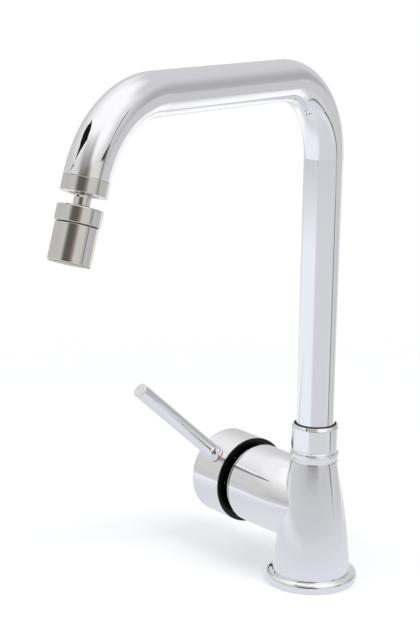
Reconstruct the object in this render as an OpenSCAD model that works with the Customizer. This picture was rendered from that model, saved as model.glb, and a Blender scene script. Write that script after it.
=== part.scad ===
// Single-lever bar faucet: flared body with a side branch for the mixing cartridge,
// a swivelling gooseneck spout, a pin lever and a ball-jointed aerator head.
// Millimetres, +Z up. Origin: centre of the base, on the deck. The branch points
// along -X; the spout, when straight ahead, along -Y.

/* [Spout] */
// Outside diameter of the spout tube
tube_d = 24; // [22:0.5:25]
// Wall of the spout tube
tube_wall = 1.2; // [1:0.1:1.5]
// Height of the top run's centreline above the deck
spout_height = 318; // [290:1:340]
// Distance from the riser's axis to the corner above the outlet
spout_run = 209.5; // [180:0.5:230]
// Centreline radius of the bend at the top of the riser
bend_r = 49; // [40:1:60]
// Centreline radius of the bend above the outlet
drop_bend_r = 56.3; // [45:0.1:60]
// Angle through which the tube turns down to the outlet
drop_angle = 71; // [60:1:80]
// Turn of the spout from straight ahead
spout_turn = 17; // [-60:1:60]

/* [Body] */
// Radius of the flared body at its foot
foot_r = 25.1; // [24:0.1:26]
// Radius of the body at its shoulder
shoulder_r = 15.0; // [14.5:0.1:15.5]
// Height of the shoulder above the deck
shoulder_z = 79.3; // [76:0.1:84]
// Radius of the rounded base flange
flange_r = 29.1; // [28:0.1:32]
// Height of the base flange
flange_h = 6.9; // [6:0.1:8]

/* [Side branch] */
// Height of the branch's axis above the deck
branch_z = 48.8; // [46:0.1:52]
// Radius of the branch
branch_r = 25.8; // [25:0.1:26.5]
// Distance from the body's axis to the end of the branch
branch_len = 55.1; // [54:0.1:58]

/* [Handle] */
// Radius of the handle cap
cap_r = 28.3; // [28:0.1:30]
// Length of the handle cap
cap_len = 28.3; // [26:0.1:32]
// Gap between the branch and the handle cap
cap_gap = 6.1; // [5.5:0.1:7]
// Angle of the lever, forward from upright
lever_angle = 49; // [0:1:90]
// Diameter of the lever rod
lever_d = 9.8; // [8:0.1:10]
// Length of the lever from the branch's axis to its tip
lever_len = 109.5; // [90:0.5:130]

/* [Aerator head] */
// Radius of the head's collar
collar_r = 11.8; // [11.5:0.1:12.5]
// Radius of the head's sleeve
sleeve_r = 11.1; // [11:0.1:11.5]
// Radius of the swivel ball
ball_r = 7.5; // [7.3:0.1:7.6]

/* [Hidden] */
$fn = 96;
tube_r = tube_d/2;
tube_ir = tube_r - tube_wall;

// Running clearance of a shaft in its hole, and the gap of parts that only pass
run_gap = 0.05;
pass_gap = 0.3;
// Reaches past whatever it cuts
far = 40;

// Neck of the body, trim ring and spout nut
neck_bore_r = 9.6;
neck_bore_z = 64;
neck_thread_r = 12.95;
neck_top_z = 92;
step_r = 14;
trim_z = 80.3;
trim_h = 4.7;
trim_r = 15.3;
trim_lip = 1;
trim_lip_h = 0.8;
nut_z = 85;
nut_h = 18.2;
nut_r = 14.7;
nut_top_w = 1.1;
nut_top_h = 1.9;
nut_foot_w = 1.3;
nut_foot_h = 2.4;
nut_flare_w = 1;
nut_flare_h = 1.5;
nut_lip_z = 95.2;
nut_lip_r = tube_r + pass_gap;
nut_thread_r = neck_thread_r + run_gap;

// Bush soldered into the riser, which turns in the neck
bush_z = 66;
bush_r = neck_bore_r - 0.1;
bush_bore_r = 7;
collar_z = 93.2;
collar_h = 1;
bush_collar_r = 12.8;
riser_z = collar_z + collar_h;
slip_h = 1.1;
ring_zs = [72, 81];
ring_minor_r = 0.75;
ring_major_r = bush_r + run_gap - ring_minor_r;

// Water ways: the chamber's floor and its three ports
floor_s = 14;
chamber_r = 20.3;
mouth_s = 44;
mouth_r = 21.9;
port_r = 4;
inlet_r = 4.5;
inlet_depth = 12;
inlet_x = -4;
inlet_y = 9;
inlet_drop = -7;
outlet_rise = 9;
underside_z = 1.2;
block_r = 19;
block_top = 17.2;
spigot_r = 22.9;
stud_x = 13;
stud_r = 3.4;
stud_depth = 14;

// Branch root: an arc that narrows the branch to the body's own width
root_r = 19.4;
root_len = 32;
root_arc_r = (pow(root_len, 2) + pow(branch_r - root_r, 2))/(2*(branch_r - root_r));
bevel_s = 1.7;
bevel_r = 0.9;

// Cartridge, along the branch's axis
cart_r = chamber_r - 0.1;
cart_s = floor_s + 1;
cart_top_s = 45;
rotor_seat_s = 41;
rotor_seat_r = 15;
rotor_r = 12.5;
rotor_top_s = 56;
cover_h = 2;
cover_r = 16.9;
ring_nut_h = 7;
ring_nut_ir = 17.2;
pivot_s = 50;
pin_r = 1.5;
stem_w = 9;
stem_s = 47;
stem_top_s = 80;
slot_w = stem_w + 2*pass_gap;
slot_l = 22;

// Dome between the branch and the cap, round the pivot
dome_r = 24.5;
dome_ir = 22.3;
dome_top_s = 64;
skirt_ir = 20.2;

// Handle cap and lever
cap_s = branch_len + cap_gap;
cap_end_s = cap_s + cap_len;
cap_wall = 2;
cap_end_wall = 5;
cap_edge_r = 1.6;
lip_h = 0.8;
lip_r = 28.1;
liner_ir = 24.9;
liner_depth = 4;
boss_r = 9;
boss_s = 67;
lever_s = 72.7;
lever_r = lever_d/2;
lever_thread_r = 3;
lever_seat = 27.6;
lever_ball_r = 5.5;
pad_r = 7;
pad_in = 18;
index_r = 5.2;
index_h = 1.1;
ball_z = lever_seat + index_h + 1.2;
grub_r = 2.5;
grub_len = 4;

// Outlet, measured along the outlet's axis from the end of the spout
ring_len = 7.7;
spigot_len = 4;
outlet_thread_r = 8;
ledge_s = -5.2;
plug_s = -4;
neck_r = 4.4;
stem_disc_r = 4.95;
ball_s = 11.6;
stem_bore_r = 2.8;
collar_top = 6.5;
collar_end = 15;
collar_edge = 0.6;
sleeve_s = 15.5;
sleeve_end = 34.8;
insert_r = 9.5;
insert_s = 20.5;
insert_end = 35;
seat_r = ball_r + run_gap;
seat_or = 8.6;
seat_top = 5.3;
seat_end = 2;
socket_r = seat_or + run_gap;
collar_thread_r = 9.9;

// ---- Frames ----
// +Z along the branch's axis, away from the body; +X is up
module branch_frame() translate([0, 0, branch_z]) rotate([0, -90, 0]) children();

// +Z along the lever, away from the branch's axis
module lever_frame() branch_frame() rotate([0, 0, -lever_angle])
    translate([0, 0, lever_s]) rotate([0, 90, 0]) children();

// +Y against the spout's run: the run goes along -Y, then turned with the spout
module spout_frame() rotate([0, 0, spout_turn]) children();

// Origin at the end of the spout, +Z along the outlet's axis, away from the spout
drop_t = drop_bend_r*tan(drop_angle/2);
lean = 90 - drop_angle;
end_y = -spout_run - (drop_t + ring_len)*sin(lean);
end_z = spout_height - (drop_t + ring_len)*cos(lean);
module outlet_frame() spout_frame() translate([0, end_y, end_z])
    rotate([180 - lean, 0, 0]) children();

// ---- Profiles and helpers ----
module ring(r, ir, h, z = 0) translate([0, 0, z]) difference() {
    cylinder(r = r, h = h);
    translate([0, 0, -1]) cylinder(r = ir, h = h + 2);
}

module o_ring(major, minor) rotate_extrude() translate([major, 0]) circle(r = minor, $fn = 32);

// Profile that cuts a chamfer from the edge at radius r and height z: w wide, h along the wall
module edge_cut(r, w, z, h) polygon([[r - w, z], [r - w, z - sign(h)], [r + 1, z - sign(h)],
    [r + 1, z + h], [r, z + h]]);

// A cylinder with a round top edge
module round_end(r, h, edge) rotate_extrude() {
    square([r, h - edge]);
    square([r - edge, h]);
    translate([r - edge, h - edge]) circle(r = edge, $fn = 48);
}

// ---- Body ----
// The body's side is one arc of large radius, bulging by flare_rise
flare_rise = 1.05;
flare_chord = norm([foot_r - shoulder_r, shoulder_z]);
flare_arc_r = pow(flare_chord, 2)/(8*flare_rise) + flare_rise/2;
flare_tilt = atan((foot_r - shoulder_r)/shoulder_z);
flare_c = [(foot_r + shoulder_r)/2, shoulder_z/2]
    - (flare_arc_r - flare_rise)*[cos(flare_tilt), sin(flare_tilt)];

module flare() rotate_extrude() intersection() {
    translate([0, flange_h]) square([foot_r + 5, shoulder_z - flange_h]);
    translate(flare_c) circle(r = flare_arc_r, $fn = 1440);
}

module branch_solid() branch_frame() {
    rotate_extrude() difference() {
        square([branch_r, root_len]);
        translate([branch_r - root_arc_r, root_len]) difference() {
            translate([root_arc_r - 20, -root_len - 1]) square([30, root_len + 1]);
            circle(r = root_arc_r, $fn = 720);
        }
    }
    translate([0, 0, root_len]) cylinder(r = branch_r, h = branch_len - root_len - bevel_s);
    translate([0, 0, branch_len - bevel_s]) cylinder(r1 = branch_r, r2 = branch_r - bevel_r, h = bevel_s);
}

module port(x, y, to_x) branch_frame() translate([x, y, to_x]) cylinder(r = port_r, h = floor_s - to_x + 1);

module body_casting() color("gainsboro") difference() {
    union() {
        translate([0, 0, underside_z]) cylinder(r = spigot_r, h = flange_h - underside_z + 0.1);
        flare();
        branch_solid();
        cylinder(r = neck_thread_r, h = neck_top_z);
        cylinder(r = step_r, h = trim_z);
    }
    // What the neck's core leaves below the underside
    translate([0, 0, -1]) cylinder(r = far, h = underside_z + 1);
    // Neck bore for the spout's bush
    translate([0, 0, neck_bore_z]) cylinder(r = neck_bore_r, h = far);
    // Cartridge chamber and its threaded mouth
    branch_frame() translate([0, 0, floor_s]) cylinder(r = chamber_r, h = branch_len);
    branch_frame() translate([0, 0, mouth_s]) cylinder(r = mouth_r, h = branch_len);
    // Mixed water: from the chamber's floor to the neck
    port(outlet_rise, 0, 0);
    translate([0, 0, branch_z + outlet_rise]) cylinder(r = port_r, h = 10);
    // Hot and cold: from the inlet block up to the chamber's floor
    for (y = [-inlet_y, inlet_y]) {
        port(inlet_drop, y, -inlet_x);
        water_way(y);
    }
    // Seat of the inlet block
    cylinder(r = block_r + run_gap, h = block_top);
}

module water_way(y) translate([inlet_x, y, 5]) cylinder(r = port_r - 0.5, h = branch_z + inlet_drop - 5);

// Brass block pressed up into the body's foot, with the threaded inlets and the stud's hole
module inlet_block() color("goldenrod") difference() {
    translate([0, 0, underside_z]) cylinder(r = block_r, h = block_top - underside_z);
    for (y = [-inlet_y, inlet_y]) {
        translate([inlet_x, y, underside_z - 1]) cylinder(r = inlet_r, h = inlet_depth + 1);
        water_way(y);
    }
    translate([stud_x, 0, underside_z - 1]) cylinder(r = stud_r, h = stud_depth + 1);
}

// ---- Base ----
bead_r = 3.2;
band_z = 0.4;
band_h = 1.4;
band_r = 28.3;
gasket_h = 1.6;
gasket_ir = 23.6;
gasket_r = 27.2;

module base_flange() color("gainsboro") difference() {
    rotate_extrude() {
        translate([0, band_z]) square([flange_r - bead_r, flange_h - band_z]);
        translate([flange_r - bead_r, flange_h - bead_r]) circle(r = bead_r, $fn = 64);
        translate([0, band_z]) square([band_r, band_h]);
    }
    translate([0, 0, -1]) cylinder(r = spigot_r + run_gap, h = flange_h + 2);
    ring(gasket_r + run_gap, gasket_ir - run_gap, gasket_h + 1, -1);
}

module base_gasket() color("dimgray") ring(gasket_r, gasket_ir, gasket_h);

// ---- Neck, trim ring and nut ----
module trim_ring() color("gainsboro") translate([0, 0, trim_z]) rotate_extrude() difference() {
    translate([neck_thread_r + run_gap, 0]) square([trim_r - neck_thread_r - run_gap, trim_h]);
    polygon([[trim_r - trim_lip, -0.1], [trim_r + 1, -0.1], [trim_r + 1, trim_h - trim_lip_h],
        [trim_r, trim_h - trim_lip_h]]);
}

module spout_nut() color("gainsboro") translate([0, 0, nut_z]) difference() {
    rotate_extrude() difference() {
        square([nut_r, nut_h]);
        edge_cut(nut_r, nut_top_w, nut_h, -nut_top_h);
        edge_cut(nut_r, nut_foot_w, 0, nut_foot_h);
    }
    translate([0, 0, -1]) cylinder(r = nut_thread_r, h = nut_lip_z - nut_z + 1);
    cylinder(r = nut_lip_r, h = nut_h + 1);
    translate([0, 0, nut_h - nut_flare_h])
        cylinder(r1 = nut_lip_r, r2 = nut_lip_r + nut_flare_w, h = nut_flare_h + 0.01);
}

module slip_ring_lower() color("ivory") ring(nut_thread_r - 0.2, neck_bore_r + 0.1, slip_h, neck_top_z);

module slip_ring_upper() color("ivory")
    ring(nut_thread_r - 0.2, tube_r + 0.1, nut_lip_z - riser_z - run_gap, riser_z + run_gap);

// ---- Cartridge ----
module cartridge_body() color("lightgray") branch_frame() difference() {
    translate([0, 0, cart_s]) cylinder(r = cart_r, h = cart_top_s - cart_s);
    translate([0, 0, rotor_seat_s]) cylinder(r = rotor_seat_r + run_gap, h = 10);
    for (p = [[inlet_drop, -inlet_y], [inlet_drop, inlet_y], [outlet_rise, 0]])
        translate([p.x, p.y, cart_s - 1]) cylinder(r = port_r - 1, h = 8);
}

module cartridge_cover() color("dimgray") branch_frame()
    ring(cover_r, rotor_r + run_gap, cover_h, cart_top_s);

module port_seal(x, y) color("black") branch_frame() translate([x, y, 0])
    ring(port_r + 1, port_r - 0.9, cart_s - floor_s, floor_s);
module hot_seal() port_seal(inlet_drop, -inlet_y);
module cold_seal() port_seal(inlet_drop, inlet_y);
module outlet_seal() port_seal(outlet_rise, 0);

// Threaded ring that clamps the cartridge, with four spanner slots
module cartridge_nut() color("goldenrod") branch_frame() difference() {
    ring(mouth_r - run_gap, ring_nut_ir, ring_nut_h, cart_top_s);
    for (a = [0:90:270]) rotate([0, 0, a])
        translate([ring_nut_ir - 1, -2, cart_top_s + ring_nut_h - 3]) cube([4, 4, 4]);
}

module shroud_dome() color("black") branch_frame() {
    difference() {
        translate([0, 0, pivot_s]) sphere(r = dome_r);
        translate([0, 0, pivot_s]) sphere(r = dome_ir);
        cylinder(r = far, h = branch_len + run_gap);
        translate([0, 0, -10]) cylinder(r = far, h = 20);
        translate([0, 0, dome_top_s]) cylinder(r = far, h = far);
    }
    ring(mouth_r - run_gap, skirt_ir, 4.6, cart_top_s + ring_nut_h);
}

// Turns about the branch's axis to mix; the stem tilts in its slot
module cartridge_rotor() color("dimgray") branch_frame() rotate([0, 0, -lever_angle]) difference() {
    union() {
        translate([0, 0, rotor_seat_s + run_gap])
            cylinder(r = rotor_seat_r, h = cart_top_s - rotor_seat_s - 2*run_gap);
        translate([0, 0, rotor_seat_s + 1]) cylinder(r = rotor_r, h = rotor_top_s - rotor_seat_s - 1);
    }
    translate([-slot_l/2, -slot_w/2, cart_top_s - 1]) cube([slot_l, slot_w, 20]);
    translate([0, 0, pivot_s]) rotate([90, 0, 0]) cylinder(r = pin_r, h = far, center = true, $fn = 32);
}

module pivot_pin() color("silver") branch_frame() rotate([0, 0, -lever_angle])
    translate([0, 0, pivot_s]) rotate([90, 0, 0])
        cylinder(r = pin_r, h = 2*rotor_r - 2, center = true, $fn = 32);

module cartridge_stem() color("silver") branch_frame() rotate([0, 0, -lever_angle]) difference() {
    translate([-stem_w/2, -stem_w/2, stem_s]) cube([stem_w, stem_w, stem_top_s - stem_s]);
    translate([0, 0, pivot_s]) rotate([90, 0, 0])
        cylinder(r = pin_r + run_gap, h = far, center = true, $fn = 32);
}

// ---- Handle ----
module handle_cap() color("gainsboro") difference() {
    union() {
        branch_frame() difference() {
            translate([0, 0, cap_s + lip_h]) round_end(cap_r, cap_len - lip_h, cap_edge_r);
            translate([0, 0, cap_s - 1]) cylinder(r = cap_r - cap_wall, h = cap_len - cap_end_wall + 1);
        }
        branch_frame() translate([0, 0, boss_s]) cylinder(r = boss_r, h = cap_end_s - boss_s - 1);
        intersection() {
            lever_frame() translate([0, 0, pad_in]) cylinder(r = pad_r, h = 10);
            branch_frame() translate([0, 0, cap_s]) cylinder(r = cap_r - 1, h = cap_len - 1);
        }
    }
    // Square socket of the stem
    branch_frame() rotate([0, 0, -lever_angle])
        translate([-stem_w/2 - run_gap, -stem_w/2 - run_gap, boss_s - 1])
            cube([stem_w + 2*run_gap, stem_w + 2*run_gap, stem_top_s - boss_s + 1.5]);
    // Lever's seat and thread
    lever_frame() translate([0, 0, lever_seat]) cylinder(r = index_r + run_gap, h = 10);
    lever_frame() translate([0, 0, pad_in - 1]) cylinder(r = lever_thread_r, h = 20);
    // Grub screw, opposite the lever
    lever_frame() rotate([180, 0, 0]) cylinder(r = grub_r, h = far);
}

// Liner pressed into the cap's mouth; its lip covers the rim that faces the branch
module cap_liner() color("black") branch_frame() translate([0, 0, cap_s]) rotate_extrude() {
    translate([liner_ir, 0]) square([lip_r - liner_ir, lip_h]);
    translate([liner_ir, 0]) square([cap_r - cap_wall - run_gap - liner_ir, liner_depth]);
}

module lever_rod() color("gainsboro") lever_frame() {
    translate([0, 0, pad_in + 0.5]) cylinder(r = lever_thread_r, h = 20);
    difference() {
        translate([0, 0, ball_z]) round_end(lever_r, lever_len - ball_z, 0.5);
        translate([0, 0, ball_z]) sphere(r = lever_ball_r + run_gap);
    }
}

module lever_ball() color("gainsboro") lever_frame() difference() {
    translate([0, 0, ball_z]) sphere(r = lever_ball_r);
    translate([0, 0, -1]) cylinder(r = 20, h = lever_seat + index_h + 1);
    cylinder(r = lever_thread_r + run_gap, h = lever_len);
}

module index_half(a) lever_frame() rotate([0, 0, a]) difference() {
    ring(index_r, lever_thread_r + run_gap, index_h, lever_seat);
    translate([-20, 0, 0]) cube([40, 20, 60]);
}
module index_red() color("crimson") index_half(90);
module index_blue() color("royalblue") index_half(-90);

module grub_screw() color("dimgray") lever_frame() rotate([180, 0, 0]) difference() {
    translate([0, 0, stem_w/2 + run_gap]) cylinder(r = grub_r, h = grub_len);
    translate([0, 0, stem_w/2 + grub_len - 2]) cylinder(r = 1.45, h = 10, $fn = 6);
}

// ---- Spout ----
// The tube's centreline, filled to radius r; over lengthens it past both ends, by
// millimetres at the foot and by degrees at the outlet
module spout_bar(r, over) {
    bend_z = spout_height - bend_r;
    run_end = spout_run - drop_t;
    translate([0, 0, riser_z - over]) cylinder(r = r, h = bend_z - riser_z + over);
    translate([0, -bend_r, bend_z]) rotate([90, 0, 90])
        rotate_extrude(angle = 90) translate([bend_r, 0]) circle(r = r);
    translate([0, -bend_r, spout_height]) rotate([90, 0, 0]) cylinder(r = r, h = run_end - bend_r);
    translate([0, -run_end, spout_height - drop_bend_r]) rotate([90, 0, 90]) rotate([0, 0, 90])
        rotate_extrude(angle = drop_angle + over) translate([drop_bend_r, 0]) circle(r = r);
}

module spout_tube() color("gainsboro") spout_frame() difference() {
    spout_bar(tube_r, 0);
    spout_bar(tube_ir, 1);
}

module spout_bush() color("goldenrod") spout_frame() difference() {
    union() {
        translate([0, 0, bush_z]) cylinder(r = bush_r, h = collar_z - bush_z);
        translate([0, 0, collar_z]) cylinder(r = bush_collar_r, h = collar_h);
        translate([0, 0, riser_z]) cylinder(r = tube_ir - run_gap, h = 12);
    }
    translate([0, 0, bush_z - 1]) cylinder(r = bush_bore_r, h = 60);
    for (z = ring_zs) ring(bush_r + 1, ring_major_r - ring_minor_r - run_gap, 2, z - 1);
}

module o_ring_lower() color("black") translate([0, 0, ring_zs[0]]) o_ring(ring_major_r, ring_minor_r);
module o_ring_upper() color("black") translate([0, 0, ring_zs[1]]) o_ring(ring_major_r, ring_minor_r);

// ---- Outlet ----
module outlet_ring() color("silver") outlet_frame() difference() {
    union() {
        translate([0, 0, -ring_len]) cylinder(r = tube_r, h = ring_len);
        translate([0, 0, -ring_len - spigot_len]) cylinder(r = tube_ir - 0.3, h = spigot_len + 1);
    }
    translate([0, 0, -30]) cylinder(r = 5.5, h = far);
    translate([0, 0, ledge_s]) cylinder(r = outlet_thread_r, h = 10);
    translate([0, 0, -ring_len - spigot_len - 1]) cylinder(r = 9, h = spigot_len + 2);
}

module outlet_washer() color("black") outlet_frame()
    ring(outlet_thread_r - run_gap, 5, plug_s - ledge_s, ledge_s);

// Threaded plug, waisted neck and hollow ball
module ball_stem() color("silver") outlet_frame() difference() {
    union() {
        translate([0, 0, plug_s]) cylinder(r = outlet_thread_r - run_gap, h = -0.5 - plug_s);
        translate([0, 0, -0.6]) cylinder(r = stem_disc_r, h = 1.5);
        translate([0, 0, 0.9]) cylinder(r1 = stem_disc_r, r2 = neck_r, h = 0.9);
        translate([0, 0, 1.8]) cylinder(r = neck_r, h = ball_s - 1.8);
        translate([0, 0, ball_s]) sphere(r = ball_r);
    }
    translate([0, 0, plug_s - 1]) cylinder(r = stem_bore_r, h = far);
    translate([0, 0, ball_s + 5.6]) cylinder(r = 8, h = 5);
}

// Spherical ring between the ball and the collar: spins on the ball
module ball_seat() color("dimgray") outlet_frame() difference() {
    translate([0, 0, ball_s]) sphere(r = seat_or);
    translate([0, 0, ball_s]) sphere(r = seat_r);
    cylinder(r = 20, h = ball_s - seat_top);
    translate([0, 0, ball_s - seat_end]) cylinder(r = 20, h = 20);
}

// ---- Aerator head ----
module head_collar() color("silver") outlet_frame() difference() {
    rotate_extrude() difference() {
        translate([0, collar_top]) square([collar_r, collar_end - collar_top]);
        edge_cut(collar_r, collar_edge, collar_top, collar_edge);
    }
    translate([0, 0, ball_s]) sphere(r = socket_r);
    translate([0, 0, ball_s]) cylinder(r = socket_r, h = 20);
    translate([0, 0, ball_s + 0.8]) cylinder(r = collar_thread_r, h = 20);
}

module head_sleeve() color("silver") outlet_frame() difference() {
    union() {
        translate([0, 0, sleeve_s]) cylinder(r = sleeve_r, h = sleeve_end - sleeve_s);
        translate([0, 0, ball_s + 0.9]) cylinder(r = collar_thread_r - run_gap, h = sleeve_s - ball_s);
    }
    translate([0, 0, ball_s - 5]) cylinder(r = socket_r + 0.1, h = 12);
    translate([0, 0, insert_s - 3]) cylinder(r = insert_r + run_gap, h = 30);
}

// Seals the underside of the ball
module ball_seal() color("black") outlet_frame() difference() {
    translate([0, 0, ball_s + 1.4]) cylinder(r = socket_r, h = 3.2);
    translate([0, 0, ball_s]) sphere(r = seat_r);
    cylinder(r = 5.9, h = far);
}

// Insert with a hexagonal field of outlet holes
cell = 2.3;
cell_r = 0.95;
cell_rows = 3;
module aerator_insert() color("whitesmoke") outlet_frame() difference() {
    translate([0, 0, insert_s]) cylinder(r = insert_r, h = insert_end - insert_s);
    translate([0, 0, insert_s - 1]) cylinder(r = insert_r - 1.4, h = insert_end - insert_s - 3);
    translate([0, 0, insert_end - 0.8]) cylinder(r = insert_r - 1.2, h = 2);
    for (i = [-cell_rows:cell_rows], j = [-cell_rows:cell_rows])
        if (abs(i + j) <= cell_rows)
            translate([cell*(i + j/2), cell*j*sqrt(3)/2, insert_end - 6])
                cylinder(r = cell_r, h = 10, $fn = 6);
}

module aerator_screen() color("silver") outlet_frame()
    translate([0, 0, insert_s - 0.7]) cylinder(r = insert_r - 0.1, h = 0.6);

body_casting();
inlet_block();
base_flange();
base_gasket();
trim_ring();
spout_nut();
slip_ring_lower();
slip_ring_upper();
cartridge_body();
cartridge_cover();
hot_seal();
cold_seal();
outlet_seal();
cartridge_nut();
shroud_dome();
cartridge_rotor();
pivot_pin();
cartridge_stem();
handle_cap();
cap_liner();
lever_rod();
lever_ball();
index_red();
index_blue();
grub_screw();
spout_tube();
spout_bush();
o_ring_lower();
o_ring_upper();
outlet_ring();
outlet_washer();
ball_stem();
ball_seat();
head_collar();
head_sleeve();
ball_seal();
aerator_insert();
aerator_screen();
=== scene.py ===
"""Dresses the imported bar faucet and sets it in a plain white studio.

The part's own frame is in metres: +Z up, the deck at z = 0, the side branch along -X and the spout's
straight-ahead direction along -Y. The sub-assemblies give their sizes in millimetres.
"""

import logging
import math
from dataclasses import dataclass, field
from enum import Enum
from typing import Sequence

import bmesh
import bpy
import numpy as np
from mathutils import Matrix, Vector


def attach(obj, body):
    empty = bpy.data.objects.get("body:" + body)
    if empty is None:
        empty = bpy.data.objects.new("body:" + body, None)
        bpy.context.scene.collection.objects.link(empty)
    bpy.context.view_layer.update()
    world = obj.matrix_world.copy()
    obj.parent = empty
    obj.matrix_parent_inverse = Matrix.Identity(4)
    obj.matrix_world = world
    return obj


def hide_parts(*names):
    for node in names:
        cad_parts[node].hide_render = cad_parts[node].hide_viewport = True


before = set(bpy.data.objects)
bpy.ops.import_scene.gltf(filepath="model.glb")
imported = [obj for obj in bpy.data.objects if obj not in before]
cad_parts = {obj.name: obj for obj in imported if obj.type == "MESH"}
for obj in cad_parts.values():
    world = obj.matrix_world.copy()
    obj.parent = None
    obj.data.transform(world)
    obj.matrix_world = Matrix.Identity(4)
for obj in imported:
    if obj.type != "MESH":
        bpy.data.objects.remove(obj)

LOG = logging.getLogger("faucet")
# Metres in a millimetre, and the camera's azimuth in degrees from +X.
MM = 0.001
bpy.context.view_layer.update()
CAMERA_AZIMUTH = -41.81

Colour = tuple[float, float, float]
Vec3 = tuple[float, float, float]
Spot = tuple[float, float, float]


# ---------------------------------------------------------------- node trees


class Step(Enum):
    """How a value goes from one level to another."""

    SMOOTH = "SMOOTHSTEP"
    STRAIGHT = "LINEAR"


class Tree:
    """A short way to add and join shader nodes in one node tree."""

    def __init__(self, tree: bpy.types.NodeTree) -> None:
        """Keeps the tree and empties it.

        Args:
            tree: the node tree of a material or of the world.
        """
        self.tree = tree
        tree.nodes.clear()

    def add(self, kind: str, **settings: object) -> bpy.types.Node:
        """Adds one node.

        Args:
            kind: the node's Blender type name.
            **settings: attributes set on the node.

        Returns:
            The new node.
        """
        node = self.tree.nodes.new(kind)
        for key, value in settings.items():
            setattr(node, key, value)
        return node

    def join(self, source: bpy.types.NodeSocket, target: bpy.types.NodeSocket) -> None:
        """Links an output socket to an input socket."""
        self.tree.links.new(source, target)

    def feed(self, target: bpy.types.NodeSocket, value: object) -> None:
        """Links a socket, or writes a number, to an input socket."""
        if isinstance(value, bpy.types.NodeSocket):
            self.join(value, target)
        else:
            target.default_value = value

    def math(self, operation: str, *values: object) -> bpy.types.NodeSocket:
        """Adds a Math node.

        Args:
            operation: the operation's Blender name.
            *values: sockets or numbers for its inputs.

        Returns:
            The output socket.
        """
        node = self.add("ShaderNodeMath", operation=operation)
        for slot, value in zip(node.inputs, values):
            self.feed(slot, value)
        return node.outputs[0]

    def dot(self, vector: bpy.types.NodeSocket, axis: Vec3) -> bpy.types.NodeSocket:
        """Adds a dot product of a vector socket and a constant axis, and gives its value."""
        node = self.add("ShaderNodeVectorMath", operation="DOT_PRODUCT")
        self.join(vector, node.inputs[0])
        node.inputs[1].default_value = axis
        return node.outputs["Value"]

    def fade(
        self, value: bpy.types.NodeSocket, low: float, high: float, at_low: float, at_high: float,
        step: Step = Step.SMOOTH,
    ) -> bpy.types.NodeSocket:
        """Adds a step from one value to another.

        Args:
            value: the socket that is mapped.
            low: where the step starts.
            high: where the step ends.
            at_low: the result up to the start.
            at_high: the result from the end on.
            step: the step's shape.

        Returns:
            The output socket.
        """
        node = self.add("ShaderNodeMapRange", interpolation_type=step.value)
        self.join(value, node.inputs["Value"])
        node.inputs["From Min"].default_value = low
        node.inputs["From Max"].default_value = high
        node.inputs["To Min"].default_value = at_low
        node.inputs["To Max"].default_value = at_high
        return node.outputs["Result"]

    def blend(self, factor: object, first: object, second: object) -> bpy.types.NodeSocket:
        """Adds a colour mix.

        Args:
            factor: a socket or number, 0 for the first colour.
            first: a socket or colour.
            second: a socket or colour.

        Returns:
            The output socket.
        """
        node = self.add("ShaderNodeMix", data_type="RGBA")
        self.feed(node.inputs["Factor"], factor)
        for name, value in (("A", first), ("B", second)):
            slot = [s for s in node.inputs if s.name == name and s.type == "RGBA"][0]
            self.feed(slot, (*value, 1.0) if isinstance(value, tuple) else value)
        return [s for s in node.outputs if s.type == "RGBA"][0]

    def mix_shader(
        self, factor: bpy.types.NodeSocket, first: bpy.types.NodeSocket, second: bpy.types.NodeSocket
    ) -> bpy.types.NodeSocket:
        """Adds a mix of two shaders.

        Args:
            factor: the share of the second.
            first: the first shader.
            second: the second shader.

        Returns:
            The mixed shader.
        """
        node = self.add("ShaderNodeMixShader")
        for slot, source in zip(node.inputs, (factor, first, second)):
            self.join(source, slot)
        return node.outputs[0]

    def noise(
        self, scale: float, detail: float = 3.0, stretch: Vec3 = (1.0, 1.0, 1.0)
    ) -> bpy.types.NodeSocket:
        """Adds a noise pattern on the object's own coordinates.

        Args:
            scale: waves a metre.
            detail: how many finer layers it has.
            stretch: how much the pattern is squeezed along each axis.

        Returns:
            The factor socket, about 0.5 on average.
        """
        place = self.add("ShaderNodeTexCoord")
        squeeze = self.add("ShaderNodeMapping")
        squeeze.inputs["Scale"].default_value = stretch
        self.join(place.outputs["Object"], squeeze.inputs["Vector"])
        node = self.add("ShaderNodeTexNoise")
        node.inputs["Scale"].default_value = scale
        node.inputs["Detail"].default_value = detail
        self.join(squeeze.outputs["Vector"], node.inputs["Vector"])
        return node.outputs[0]

    def bump(self, height: bpy.types.NodeSocket, depth: float, strength: float) -> bpy.types.NodeSocket:
        """Adds a bump node and gives its normal.

        Args:
            height: the height pattern.
            depth: the pattern's full height in metres.
            strength: how much of it shows.

        Returns:
            The normal socket.
        """
        node = self.add("ShaderNodeBump")
        node.inputs["Strength"].default_value = strength
        node.inputs["Distance"].default_value = depth
        self.join(height, node.inputs["Height"])
        return node.outputs["Normal"]

    def glow(self, colour: Colour) -> bpy.types.Node:
        """Adds an emission shader of strength one and gives its node."""
        node = self.add("ShaderNodeEmission")
        node.inputs["Color"].default_value = (*colour, 1.0)
        return node

    def surface(self, shader: bpy.types.NodeSocket, output: str = "ShaderNodeOutputMaterial") -> None:
        """Ends the tree: links a shader to a new output node of the given Blender type."""
        self.join(shader, self.add(output).inputs["Surface"])


def new_material(name: str) -> tuple[bpy.types.Material, Tree]:
    """Makes an empty node material and gives it with its tree."""
    made = bpy.data.materials.new(name)
    made.use_nodes = True
    return made, Tree(made.node_tree)


# ------------------------------------------------------------------ finishes


class Substance(Enum):
    """What a finish is on: bare metal, which tints what it mirrors, or anything else.

    The value is what the shader takes as the share of metal.
    """

    METAL = 1.0
    OTHER = 0.0


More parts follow.
